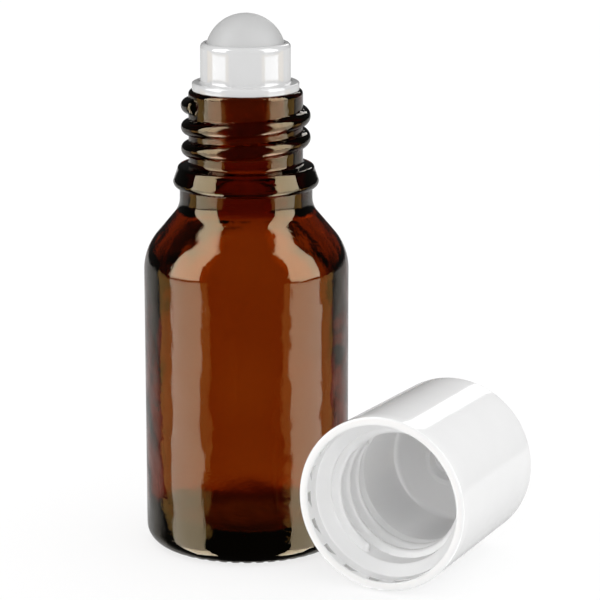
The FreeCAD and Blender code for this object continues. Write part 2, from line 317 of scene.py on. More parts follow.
class Field:
    """A shader socket that takes part in Python arithmetic."""

    def __init__(self, board: "NodeBoard", socket: bpy.types.NodeSocket) -> None:
        """Keeps a socket and the board that it is on."""
        self.board = board
        self.socket = socket

    def __add__(self, other: Operand) -> "Field":
        """Adds two values."""
        return self.board.math("ADD", self, other)

    __radd__ = __add__

    def __mul__(self, other: Operand) -> "Field":
        """Multiplies two values."""
        return self.board.math("MULTIPLY", self, other)

    __rmul__ = __mul__

    def __sub__(self, other: Operand) -> "Field":
        """Takes a value from this one."""
        return self.board.math("SUBTRACT", self, other)

    def __rsub__(self, other: Operand) -> "Field":
        """Takes this value from another one."""
        return self.board.math("SUBTRACT", other, self)

    def clamped(self) -> "Field":
        """Keeps the value between 0 and 1."""
        return self.board.value("ShaderNodeClamp", {}, {"Value": self})


class NodeBoard:
    """The node tree of a material or of the world, empty and ready to be wired."""

    def __init__(self, tree: bpy.types.NodeTree) -> None:
        """Takes a tree and clears it."""
        self.tree = tree
        tree.nodes.clear()

    def node(self, kind: str, settings: Optional[dict[str, Any]] = None,
             inputs: Optional[dict[Union[str, int], Any]] = None) -> bpy.types.Node:
        """Adds a node, sets it up, and feeds its sockets.

        Args:
            kind: The node's type.
            settings: Its properties, which are set first.
            inputs: A value or a Field for each socket, by name or place.

        Returns:
            The node.
        """
        made = self.tree.nodes.new(kind)
        for key, value in (settings or {}).items():
            setattr(made, key, value)
        for key, value in (inputs or {}).items():
            if isinstance(value, Field):
                self.tree.links.new(value.socket, made.inputs[key])
            else:
                made.inputs[key].default_value = value
        return made

    def value(self, kind: str, settings: dict[str, Any], inputs: dict[Union[str, int], Any],
              output: Union[str, int] = 0) -> Field:
        """Adds a node and gives one of its outputs as a Field."""
        return Field(self, self.node(kind, settings, inputs).outputs[output])

    def math(self, operation: str, first: Operand, second: Operand) -> Field:
        """Adds a Math node for two values."""
        return self.value("ShaderNodeMath", {"operation": operation}, {0: first, 1: second})

    def noise(self, spot: Field, size: float, detail: float = 2.0) -> Field:
        """Gives a soft noise from 0 to 1.

        Args:
            spot: The coordinates.
            size: Size of its blotches in metres.
            detail: Octaves of finer noise.

        Returns:
            The noise's value.
        """
        return self.value("ShaderNodeTexNoise", {}, {"Vector": spot, "Scale": 1 / size, "Detail": detail})

    def blend(self, factor: Field, first: Union[Field, Colour], second: Colour) -> Field:
        """Mixes two colours by a factor. A Mix node's colour sockets are known by their places alone."""
        return self.value("ShaderNodeMix", {"data_type": "RGBA"}, {0: factor, 6: first, 7: second}, 2)

    def spot(self) -> Field:
        """Gives the piece's own coordinates, in metres."""
        return self.value("ShaderNodeTexCoord", {}, {}, "Object")

    def along(self, spot: Field, way: Vector) -> Field:
        """Measures coordinates along a direction."""
        return self.value("ShaderNodeVectorMath", {"operation": "DOT_PRODUCT"}, {0: spot, 1: way}, "Value")

    def ramp(self, value: Field, start: float, end: float) -> Field:
        """Gives a soft step that rises from 0 at start to 1 at end."""
        return self.value("ShaderNodeMapRange", {"interpolation_type": "SMOOTHSTEP"}, {
            "Value": value, "From Min": start, "From Max": end})

    def bumped(self, height: Field, depth: float) -> Field:
        """Turns a height field into a normal; depth is the height of 1 in metres."""
        return self.value("ShaderNodeBump", {}, {"Height": height, "Distance": depth}, "Normal")

    def ends_in(self, surface: Field, volume: Optional[Field] = None, world: bool = False) -> None:
        """Wires the shaders to the output.

        Args:
            surface: The surface's shader.
            volume: The shader of what is inside, if any.
            world: Whether the board is the world's.
        """
        feeds = {"Surface": surface}
        if volume:
            feeds["Volume"] = volume
        self.node("ShaderNodeOutputWorld" if world else "ShaderNodeOutputMaterial", {}, feeds)


def new_material(name: str) -> tuple[bpy.types.Material, NodeBoard]:
    """Makes an empty node material.

    Args:
        name: Its name.

    Returns:
        The material and its board.
    """
    material = bpy.data.materials.new(name)
    material.use_nodes = True
    return material, NodeBoard(material.node_tree)


def grey(level: float) -> Colour:
    """Gives an opaque neutral colour."""
    return (level, level, level, 1.0)


@dataclass(frozen=True)
class AmberGlass:
    """Blown amber glass: clear, coloured in its depth, with a soft ripple and a fine orange peel."""

    pale: Colour = (0.93, 0.80, 0.58, 1.0)
    deep: Colour = (0.90, 0.74, 0.50, 1.0)
    depth_colour: Colour = (0.76, 0.49, 0.04, 1.0)
    depth_density: float = 1750.0
    refraction: float = 1.52
    ripple_size: float = 5.0 * MM
    ripple_depth: float = 0.22 * MM
    peel_size: float = 0.5 * MM
    peel_share: float = 0.07
    haze: float = 0.012
    shine: Colour = (1.0, 0.78, 0.46, 1.0)

    def material(self) -> bpy.types.Material:
        """Builds the glass.

        Returns:
            The material.
        """
        made, board = new_material("amber_glass")
        spot = board.spot()
        ripple = board.noise(spot, self.ripple_size, detail=1.0)
        peel = board.noise(spot, self.peel_size)
        glass = board.value("ShaderNodeBsdfPrincipled", {}, {
            "Base Color": board.blend(ripple, self.pale, self.deep),
            "Roughness": self.haze * peel,
            "IOR": self.refraction,
            "Transmission Weight": 1.0,
            "Specular Tint": self.shine,
            "Normal": board.bumped(ripple + self.peel_share * peel, self.ripple_depth),
        })
        depth = board.value("ShaderNodeVolumeAbsorption", {}, {
            "Color": self.depth_colour, "Density": self.depth_density})
        board.ends_in(glass, depth)
        return made


@dataclass(frozen=True)
class Hollow:
    """The inside that a mould's core leaves along Y, in metres: satin, painted darker as shade, and with
    painted shade in its recesses.
    """

    mouth: Vector
    radius: float
    bore: float
    recess_floor: float
    recess_start: float
    recess_end: float
    satin: float = 0.35
    # Painted shade: the inside's grey, darker than the outside's so that the hollow looks shaded.
    shade: float = 0.78
    # Painted shade: the grey of the recesses, darker still than the inside.
    painted_recess_shade: float = 0.5
    soft: float = 0.05 * MM

    def shares(self, board: NodeBoard, spot: Field) -> tuple[Field, Field]:
        """Finds where a point of the surface lies.

        Args:
            board: The material's board.
            spot: The surface's coordinates.

        Returns:
            How far it is inside, and how far it is in a recess's painted shade, both from 0 to 1.
        """
        across, along, up = (board.along(spot, way) - self.mouth.dot(way) for way in Matrix.Identity(3))
        away = board.math("SQRT", across * across + up * up, 0.0)
        inside = board.ramp(away, self.radius + self.soft, self.radius)
        deep = board.ramp(away, self.bore, self.bore + self.soft) * board.ramp(
            away, self.recess_floor + self.soft, self.recess_floor)
        # The painted shade lies against the recess's inner end, and narrows as the recess gets shallower.
        slope = (self.recess_end - self.recess_start) / (self.recess_floor - self.bore)
        behind = board.ramp(along, self.recess_end + self.soft, self.recess_end) * board.ramp(
            along + slope * (away - self.bore), self.recess_end - self.soft, self.recess_end)
        return inside, deep * behind


@dataclass(frozen=True)
class MouldedPlastic:
    """Glossy moulded plastic: faint clouds in its shade, uneven gloss, soft sink and fine skin."""

    name: str
    shade: float
    cloud: float = 0.03
    gloss: float = 0.07
    gloss_spread: float = 0.06
    sink_size: float = 4.0 * MM
    sink_depth: float = 0.02 * MM
    skin_size: float = 0.25 * MM
    skin_share: float = 0.03
    polish: float = 0.0
    refraction: float = 1.5

    def material(self, hollow: Optional[Hollow] = None) -> bpy.types.Material:
        """Builds the plastic.

        Args:
            hollow: The inside of the piece, where it is less shiny than outside, painted darker as shade, and
                with painted shade in its recesses.

        Returns:
            The material.
        """
        made, board = new_material(self.name)
        spot = board.spot()
        sink = board.noise(spot, self.sink_size, detail=1.0)
        skin = board.noise(spot, self.skin_size)
        colour = board.blend(sink, grey(self.shade - self.cloud), grey(self.shade))
        rough = self.gloss + self.gloss_spread * skin
        if hollow:
            inside, recess = hollow.shares(board, spot)
            # Painted shade: the inside is painted a darker grey, and its recesses darker still.
            colour = board.blend(inside, colour, grey(hollow.shade))
            colour = board.blend(recess, colour, grey(hollow.painted_recess_shade))
            rough = rough + hollow.satin * inside
        plastic = board.value("ShaderNodeBsdfPrincipled", {}, {
            "Base Color": colour,
            "Roughness": rough,
            "IOR": self.refraction,
            "Coat Weight": self.polish,
            "Normal": board.bumped(sink + self.skin_share * skin, self.sink_depth),
        })
        board.ends_in(plastic)
        return made


@dataclass(frozen=True)
class FrostedPlastic:
    """Ground plastic of a roller ball: light grey, frosted, with cloudy patches and a fine tooth."""

    shade: float = 0.4
    cloud: float = 0.03
    frost: float = 0.42
    frost_spread: float = 0.14
    patch_size: float = 2.2 * MM
    tooth_size: float = 0.12 * MM
    tooth_depth: float = 0.004 * MM
    refraction: float = 1.49
    mirror: float = 0.25

    def material(self) -> bpy.types.Material:
        """Builds the frosted plastic.

        Returns:
            The material.
        """
        made, board = new_material("grey_ball")
        spot = board.spot()
        patches = board.noise(spot, self.patch_size, detail=4.0)
        tooth = board.noise(spot, self.tooth_size)
        plastic = board.value("ShaderNodeBsdfPrincipled", {}, {
            "Base Color": board.blend(patches, grey(self.shade - self.cloud), grey(self.shade)),
            "Roughness": self.frost + self.frost_spread * patches,
            "IOR": self.refraction,
            "Specular IOR Level": self.mirror,
            "Normal": board.bumped(tooth, self.tooth_depth),
        })
        board.ends_in(plastic)
        return made


@dataclass
class GlassBottle:
    """The blown bottle, in millimetres: notched foot, body, shoulder, bead, threaded neck and lip."""

    body_radius: float = 14.25
    body_side: float = 39.2
    glass_wall: float = 1.9
    heel_radius: float = 2.5
    bearing_width: float = 1.95
    push_up: float = 1.2
    base_thickness: float = 3.0
    inner_heel_radius: float = 3.2
    inner_floor_rise: float = 0.5
    shoulder_radius: float = 7.8
    shoulder_angle: float = 40.0
    neck_fillet: float = 3.4
    neck_radius: float = 9.2
    neck_straight: float = 1.5
    inner_shoulder_radius: float = 6.0
    inner_neck_fillet: float = 4.0
    bead_radius: float = 10.1
    bead_flank: float = 1.7
    bead_taper: float = 0.6
    bead_round: float = 0.5
    bead_slope: float = 0.3
    bead_foot_round: float = 0.5
    core_radius: float = 7.9
    lip_round: float = 0.6
    bore_radius: float = 5.65
    thread_crest_radius: float = 8.95
    thread_round: float = 1.1
    thread_pitch: float = 3.0
    thread_turns: float = 2.25
    thread_below_lip: float = 2.0
    thread_top_angle: float = 231.0
    thread_row: float = 0.13
    notch_count: int = 48
    notch_radius: float = 0.45
    notch_run: float = 0.85
    wave_size: float = 9.0
    wave_depth: float = 0.12
    sharp_angle: float = 50.0
    columns: int = 384

    def __post_init__(self) -> None:
        """Reads the lip's height from the frame and works out the levels in between."""
        self.lip_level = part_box("glass_bottle")[1].z / MM
        self.standing_radius = self.body_radius - self.heel_radius
        self.inner_radius = self.body_radius - self.glass_wall
        slope = math.radians(self.shoulder_angle)
        self.lean, self.drop = math.sin(slope), 1 - math.cos(slope)
        self.neck_level = self._neck_foot(
            self.shoulder_radius + self.neck_fillet, self.body_radius - self.neck_radius)
        self.bore_level = self._neck_foot(
            self.inner_shoulder_radius + self.inner_neck_fillet, self.inner_radius - self.bore_radius)
        self.bead_level = self.neck_level + self.neck_straight
        self.bead_under = self.bead_radius - self.neck_radius
        self.bead_top_radius = self.bead_radius - self.bead_taper
        self.bead_top_level = self.bead_level + self.bead_under + self.bead_flank
        self.core_level = self.bead_top_level + self.bead_round + self.bead_slope

    def _neck_foot(self, bends: float, inset: float) -> float:
        """Gives the level where a shoulder of two bends has come in by an inset."""
        return self.body_side + bends * self.lean + (inset - bends * self.drop) / math.tan(
            math.radians(self.shoulder_angle))

    @staticmethod
    def _dome(radius: float, rise: float) -> float:
        """Gives the sphere radius of a shallow dome."""
        return (radius * radius + rise * rise) / (2 * rise)

    def outline(self) -> Pen:
        """Draws the glass from the push-up, up the outside, over the lip and down the inside.

        Returns:
            The pen with the whole half outline.
        """
        push_up_radius = self.standing_radius - self.bearing_width
        pen = Pen(0, self.push_up)
        pen.arc(push_up_radius, 0, self._dome(push_up_radius, self.push_up), Turn.RIGHT, rows=6)
        pen.zone = Zone.STANDING
        pen.line(self.standing_radius, 0, step=self.bearing_width / 6)
        pen.arc(self.body_radius, self.heel_radius, self.heel_radius, Turn.LEFT, rows=12)
        pen.zone = Zone.PLAIN
        pen.line(self.body_radius, self.body_side, step=3.0)
        pen.arc(self.body_radius - self.shoulder_radius * self.drop,
                self.body_side + self.shoulder_radius * self.lean, self.shoulder_radius, Turn.LEFT, rows=12)
        pen.line(self.neck_radius + self.neck_fillet * self.drop,
                 self.neck_level - self.neck_fillet * self.lean, step=0.8)
        pen.arc(self.neck_radius, self.neck_level, self.neck_fillet, Turn.RIGHT, rows=10)
        pen.line(self.neck_radius, self.bead_level, step=0.5)
        pen.arc(self.bead_radius, self.bead_level + self.bead_under, self.bead_under, Turn.LEFT, rows=8)
        pen.line(self.bead_top_radius, self.bead_top_level, step=0.4)
        pen.arc(self.bead_top_radius - self.bead_round, self.bead_top_level + self.bead_round,
                self.bead_round, Turn.LEFT, rows=6)
        pen.bend_at((self.core_radius, self.core_level), (self.core_radius, self.lip_level),
                    self.bead_foot_round, rows=6, step=0.3)
        pen.zone = Zone.THREAD
        pen.line(self.core_radius, self.lip_level - self.lip_round, step=self.thread_row)
        pen.zone = Zone.PLAIN
        pen.arc(self.core_radius - self.lip_round, self.lip_level, self.lip_round, Turn.LEFT, rows=6)
        pen.line(self.bore_radius, self.lip_level, step=0.6)
        pen.zone = Zone.INSIDE
        pen.line(self.bore_radius, self.bore_level, step=1.5)
        pen.arc(self.bore_radius + self.inner_neck_fillet * self.drop,
                self.bore_level - self.inner_neck_fillet * self.lean, self.inner_neck_fillet,
                Turn.LEFT, rows=8)
        pen.line(self.inner_radius - self.inner_shoulder_radius * self.drop,
                 self.body_side + self.inner_shoulder_radius * self.lean, step=0.8)
        pen.arc(self.inner_radius, self.body_side, self.inner_shoulder_radius, Turn.RIGHT, rows=10)
        pen.line(self.inner_radius, self.base_thickness + self.inner_heel_radius, step=1.5)
        inner_floor_radius = self.inner_radius - self.inner_heel_radius
        pen.arc(inner_floor_radius, self.base_thickness, self.inner_heel_radius, Turn.RIGHT, rows=10)
        pen.zone = Zone.PLAIN
        pen.arc(0, self.base_thickness + self.inner_floor_rise,
                self._dome(inner_floor_radius, self.inner_floor_rise), Turn.LEFT, rows=6)
        return pen

    def thread(self) -> ScrewRidge:
        """Gives the neck's right-hand screw ridge.

        Returns:
            The ridge.
        """
        return ScrewRidge(
            low_level=self.lip_level - self.thread_below_lip - self.thread_pitch * self.thread_turns,
            low_angle=self.thread_top_angle - 360 * self.thread_turns, turns=self.thread_turns,
            pitch=self.thread_pitch, half_width=self.thread_round,
            rise=self.thread_crest_radius - self.core_radius)

    def notched(self, angle: float, radius: float, level: float) -> tuple[float, float]:
        """Lifts a point of the standing ring into its round grip notch.

        Args:
            angle: Angle of the point, in radians.
            radius: Its distance from the axis.
            level: Its height.

        Returns:
            Its new radius and level.
        """
        pitch = math.tau / self.notch_count
        aside = radius * ((angle + pitch / 2) % pitch - pitch / 2)
        if radius < self.standing_radius - self.notch_run or abs(aside) >= self.notch_radius:
            return radius, level
        return radius, max(level, math.sqrt(self.notch_radius ** 2 - aside ** 2))

    def waved(self, angle: float, radius: float, level: float) -> tuple[float, float]:
        """Moves a point of the blown inside in or out by a slow wave.

        Args:
            angle: Angle of the point, in radians.
            radius: Its distance from the axis.
            level: Its height.

        Returns:
            Its new radius and level.
        """
        spot = Vector((radius * math.cos(angle), radius * math.sin(angle), level)) / self.wave_size
        share = (radius - self.bore_radius) / (self.inner_radius - self.bore_radius)
        return radius + self.wave_depth * share * noise.noise(spot), level

    def build(self, glass: AmberGlass) -> bpy.types.Object:
        """Turns and shapes the bottle.

        Args:
            glass: Its finish.

        Returns:
            The bottle.
        """
        mesh = self.outline().turn(self.columns)
        ridge = self.thread()
        reshape(mesh, Zone.THREAD, lambda angle, radius, level: (
            radius + ridge.height(angle, level, radius), level))
        reshape(mesh, Zone.STANDING, self.notched)
        reshape(mesh, Zone.INSIDE, self.waved)
        return set_down(mesh, "glass_bottle", Matrix(), glass.material(), "bottle",
                        self.sharp_angle)


@dataclass
class BallHousing:
    """The fitment in the neck, in millimetres: sealed plug, flange, collar, socket and flow grooves."""

    bore_radius: float = 5.65
    ball_radius: float = 5.55
    ball_clearance: float = 0.07
    ball_below_rim: float = 1.55
    flange_radius: float = 7.4
    flange_thickness: float = 1.05
    flange_round: float = 0.25
    collar_radius: float = 6.22
    collar_height: float = 5.45
    collar_round: float = 0.65
    collar_foot_round: float = 0.35
    rim_round: float = 0.06
    plug_length: float = 9.0
    plug_clearance: float = 0.25
    plug_lead: float = 0.7
    seal_clearance: float = 0.03
    seal_width: float = 1.0
    seal_spacing: float = 2.6
    flow_radius: float = 4.0
    flow_groove_count: int = 6
    flow_groove_radius: float = 0.5
    flow_groove_rise: float = 0.9
    columns: int = 240

    def __post_init__(self) -> None:
        """Works out the levels above the plug's lower end."""
        self.flange_level = self.plug_length + self.flange_thickness
        self.rim_level = self.flange_level + self.collar_height
        self.socket_radius = self.ball_radius + self.ball_clearance
        self.rim_radius = math.sqrt(self.socket_radius ** 2 - self.ball_below_rim ** 2)
        self.ball_level = self.rim_level - self.ball_below_rim
        self.seat_level = self.ball_level - math.sqrt(self.socket_radius ** 2 - self.flow_radius ** 2)

    def outline(self) -> Pen:
        """Draws the housing from its lower end, up the outside, and down through the socket.

        Returns:
            The pen with the closed half outline.
        """
        plug = self.bore_radius - self.plug_clearance
        bulge = self.plug_clearance - self.seal_clearance
        seal_bend = (self.seal_width ** 2 / 4 + bulge ** 2) / (2 * bulge)
        pen = Pen(self.flow_radius, 0)
        pen.line(plug - self.plug_lead / 2, 0)
        pen.line(plug, self.plug_lead)
        for seal in (0, 1):
            foot = self.plug_lead + self.seal_width + seal * self.seal_spacing
            pen.line(plug, foot)
            pen.arc(plug, foot + self.seal_width, seal_bend, Turn.LEFT)
        pen.line(plug, self.plug_length)
        pen.line(self.flange_radius, self.plug_length)
        pen.line(self.flange_radius, self.flange_level - self.flange_round)
        pen.arc(self.flange_radius - self.flange_round, self.flange_level, self.flange_round,
                Turn.LEFT, rows=5)
        pen.line(self.collar_radius + self.collar_foot_round, self.flange_level)
        pen.arc(self.collar_radius, self.flange_level + self.collar_foot_round, self.collar_foot_round,
                Turn.RIGHT, rows=6)
        pen.line(self.collar_radius, self.rim_level - self.collar_round, step=1.0)
        pen.arc(self.collar_radius - self.collar_round, self.rim_level, self.collar_round, Turn.LEFT, rows=10)
        pen.bend_at((self.rim_radius, self.rim_level), (self.socket_radius, self.ball_level), self.rim_round,
                    rows=3)
        pen.arc(self.socket_radius, self.ball_level, self.socket_radius, Turn.RIGHT, rows=8)
        pen.zone = Zone.GROOVE
        pen.arc(self.flow_radius, self.seat_level, self.socket_radius, Turn.RIGHT, rows=16)
        return pen.close()

    def grooved(self, angle: float, radius: float, level: float) -> tuple[float, float]:
        """Moves a point of the seat out into its flow groove.

        Args:
            angle: Angle of the point, in radians.
            radius: Its distance from the axis.
            level: Its height.

        Returns:
            Its new radius and level.
        """
        pitch = math.tau / self.flow_groove_count
        aside = self.flow_radius * math.sin((angle + pitch / 2) % pitch - pitch / 2)
        if level > self.seat_level + self.flow_groove_rise or abs(aside) >= self.flow_groove_radius:
            return radius, level
        bottom = math.sqrt(self.flow_radius ** 2 - aside ** 2)
        return max(radius, bottom + math.sqrt(self.flow_groove_radius ** 2 - aside ** 2)), level

    def build(self, plastic: MouldedPlastic) -> bpy.types.Object:
        """Turns the housing and sets it in the neck.

        Args:
            plastic: Its finish.

        Returns:
            The housing.
        """
        mesh = self.outline().turn(self.columns)
        reshape(mesh, Zone.GROOVE, self.grooved)
        place = Matrix.Translation((0, 0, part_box("ball_housing")[0].z / MM))
        return set_down(mesh, "ball_housing", place, plastic.material(), "bottle")


@dataclass
class RollerBall:
    """The ball that spreads the liquid, with the faint line that its mould leaves, in millimetres."""

    seam_rise: float = 0.012
    seam_width: float = 0.16
    seam_tilt: float = 62.0
    columns: int = 160
    rows: int = 40

    def __post_init__(self) -> None:
        """Reads the ball's place and size from the frame."""
        low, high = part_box("roller_ball")
        self.centre = (low + high) / 2 / MM
        self.radius = (high.z - low.z) / 2 / MM - self.seam_rise

    def build(self, plastic: FrostedPlastic) -> bpy.types.Object:
        """Turns the ball round its mould's axis and tilts it.

        Args:
            plastic: Its finish.

        Returns:
            The ball.
        """
        half = self.seam_width / 2
        waist = math.sqrt(self.radius ** 2 - half ** 2)
        pen = Pen(0, -self.radius)
        pen.arc(waist, -half, self.radius, Turn.LEFT, rows=self.rows)
        pen.line(self.radius + self.seam_rise, 0)
        pen.line(waist, half)
        pen.arc(0, self.radius, self.radius, Turn.LEFT, rows=self.rows)
        tilt = Matrix.Rotation(math.radians(self.seam_tilt), 4, "Y")
        place = Matrix.Translation(self.centre) @ tilt
        return set_down(pen.turn(self.columns), "roller_ball", place, plastic.material(), "ball")


@dataclass
class ScrewCap:
    """The cap that lies beside the bottle, in millimetres: drafted shell, threaded inside, sealing ring."""

    mouth_radius: float = 12.0
    end_radius: float = 11.6
    length: float = 26.5
    end_thickness: float = 1.3
    end_round: float = 0.8
    rim_round: float = 0.25
    rim_wall: float = 1.15
    mouth_depth: float = 2.9
    lead_depth: float = 1.4
    lead_round: float = 0.35
    root_radius: float = 9.35
    root_depth: float = 9.2
    crest_radius: float = 8.35
    thread_round: float = 0.8
    thread_turns: float = 2.25
    thread_pitch: float = 3.0
    thread_start: float = 5.2
    thread_angle: float = 120.0
    thread_row: float = 0.13
    chamber_radius: float = 8.75
    chamber_round: float = 0.8
    seal_ring_radius: float = 3.4
    seal_ring_wall: float = 0.8
    seal_ring_height: float = 2.0
    edge_round: float = 0.15
    recess_count: int = 18
    recess_lip: float = 0.3
    recess_length: float = 2.3
    recess_depth: float = 0.5
    recess_height: float = 1.0
    recess_slack: float = 0.1
    satin_slack: float = 0.2
    columns: int = 432

    def __post_init__(self) -> None:
        """Works out the levels from the mouth, and the draft of the wall."""
        self.bore = self.mouth_radius - self.rim_wall
        self.lead_level = self.mouth_depth + self.lead_depth
        self.root_level = self.lead_level + self.root_depth
        self.chamber_level = self.root_level + self.root_radius - self.chamber_radius
        self.inner_end = self.length - self.end_thickness
        self.draft = math.atan((self.mouth_radius - self.end_radius) / self.length)

    def outline(self) -> Pen:
        """Draws the cap from the closed end's middle, down the outside, round the rim and up the inside.

        Returns:
            The pen with the whole half outline.
        """
        ring_inner = self.seal_ring_radius - self.seal_ring_wall
        ring_level = self.inner_end - self.seal_ring_height
        pen = Pen(0, self.length)
        pen.line(self.end_radius - self.end_round, self.length, step=3.0)
        pen.arc(self.end_radius, self.length - self.end_round, self.end_round, Turn.RIGHT, rows=10)
        pen.line(self.mouth_radius, self.rim_round, step=2.0)
        pen.arc(self.mouth_radius - self.rim_round, 0, self.rim_round, Turn.RIGHT, rows=6)
        pen.bend_at((self.bore, 0), (self.bore, self.recess_lip), self.edge_round)
        pen.line(self.bore, self.recess_lip)
        pen.zone = Zone.RECESS
        pen.line(self.bore, self.recess_lip + MERGE_GAP / 4)
        pen.line(self.bore, self.recess_lip + self.recess_height, step=0.25)
        pen.zone = Zone.PLAIN
        pen.line(self.bore, self.recess_lip + self.recess_height + MERGE_GAP / 4)
        pen.bend_at((self.bore, self.mouth_depth), (self.root_radius, self.lead_level), self.lead_round,
                    rows=4, step=0.5)
        pen.bend_at((self.root_radius, self.lead_level), (self.root_radius, self.root_level),
                    self.lead_round, rows=4, step=0.4)
        pen.zone = Zone.THREAD
        pen.line(self.root_radius, self.root_level - self.lead_round, step=self.thread_row)
        pen.zone = Zone.PLAIN
        pen.bend_at((self.root_radius, self.root_level), (self.chamber_radius, self.chamber_level),
                    self.edge_round)
        pen.bend_at((self.chamber_radius, self.chamber_level), (self.chamber_radius, self.inner_end),
                    self.edge_round)
        pen.line(self.chamber_radius, self.inner_end - self.chamber_round, step=1.5)
        pen.arc(self.chamber_radius - self.chamber_round, self.inner_end, self.chamber_round,
                Turn.LEFT, rows=8)
        pen.bend_at((self.seal_ring_radius, self.inner_end), (self.seal_ring_radius, ring_level),
                    self.edge_round)
        pen.bend_at((self.seal_ring_radius, ring_level), (ring_inner, ring_level), self.edge_round)
        pen.bend_at((ring_inner, ring_level), (ring_inner, self.inner_end), self.edge_round)
        pen.bend_at((ring_inner, self.inner_end), (0, self.inner_end), self.edge_round)
        pen.line(0, self.inner_end)
        return pen

    def thread(self) -> ScrewRidge:
        """Gives the screw ridge that stands in from the cap's wall.

        Returns:
            The ridge.
        """
        return ScrewRidge(
            low_level=self.thread_start, low_angle=self.thread_angle, turns=self.thread_turns,
            pitch=self.thread_pitch, half_width=self.thread_round, rise=self.root_radius - self.crest_radius)

    def recessed(self, angle: float, radius: float, level: float) -> tuple[float, float]:
        """Moves a point of the wall behind the lip out into its saw-tooth recess.

        Args:
            angle: Angle of the point, in radians.
            radius: Its distance from the axis.
            level: Its height.

        Returns:
            Its new radius and level.
        """
        behind = self.bore * (-angle % (math.tau / self.recess_count))
        return radius + self.recess_depth * max(1 - behind / self.recess_length, 0.0), level

    def mouth(self) -> Vector:
        """Gives the middle of the mouth of the cap on its side, from its node's box.

        Returns:
            The point in the frame.
        """
        low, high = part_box("screw_cap")
        return Vector(((low.x + high.x) / 2 / MM, low.y / MM + self.mouth_radius * math.sin(self.draft),
                       low.z / MM + self.mouth_radius * math.cos(self.draft)))

    def hollow(self) -> Hollow:
        """Gives the cap's inside as it lies, for its finish and the painted shade in it.

        Returns:
            The hollow, in metres.
        """
        return Hollow(
            mouth=self.mouth() * MM, radius=(self.bore + self.satin_slack) * MM, bore=self.bore * MM,
            recess_floor=(self.bore + self.recess_depth + self.recess_slack) * MM,
            recess_start=self.recess_lip * MM, recess_end=(self.recess_lip + self.recess_height) * MM)

    def build(self, plastic: MouldedPlastic) -> bpy.types.Object:
        """Turns the cap and lays it beside the bottle.

        Args:
            plastic: Its finish.

        Returns:
            The cap.
        """
        mesh = self.outline().turn(self.columns)
        ridge = self.thread()
        reshape(mesh, Zone.THREAD, lambda angle, radius, level: (
            radius - ridge.height(angle, level, radius), level))
        reshape(mesh, Zone.RECESS, self.recessed)
        place = Matrix.Translation(self.mouth()) @ Matrix.Rotation(-math.pi / 2 - self.draft, 4, "X")
        cap = set_down(mesh, "screw_cap", place, plastic.material(self.hollow()), "cap")
        # The photograph shows no reflection of the cap in the glass.
        cap.visible_glossy = False
        return cap


def stage_sheet(name: str, place: Matrix, size: tuple[float, float],
                material: bpy.types.Material) -> bpy.types.Object:
    """Makes a flat sheet for the stage, which isn't part of the object.

    Args:
        name: Its name.
        place: Where its middle goes and how it is turned.
        size: Its width and height.
        material: Its finish.

    Returns:
        The sheet.
    """
    mesh = bmesh.new()
    bmesh.ops.create_grid(mesh, x_segments=1, y_segments=1, size=0.5)
    bmesh.ops.scale(mesh, verts=mesh.verts[:], vec=(*size, 1))
    bmesh.ops.transform(mesh, matrix=place, verts=mesh.verts[:])
    data = bpy.data.meshes.new(name)
    mesh.to_mesh(data)
    mesh.free()
    data.materials.append(material)
    sheet = bpy.data.objects.new(name, data)
    bpy.context.scene.collection.objects.link(sheet)
    return sheet


@dataclass(frozen=True)
class Softbox:
    """One upright stretch of lamp or reflector, in metres, at an angle from the camera's axis in degrees."""

    bottom: float
    top: float
    glow: float
    angle: float = 71.5
    distance: float = 0.6
    width: float = 0.45
    colour: Colour = WHITE


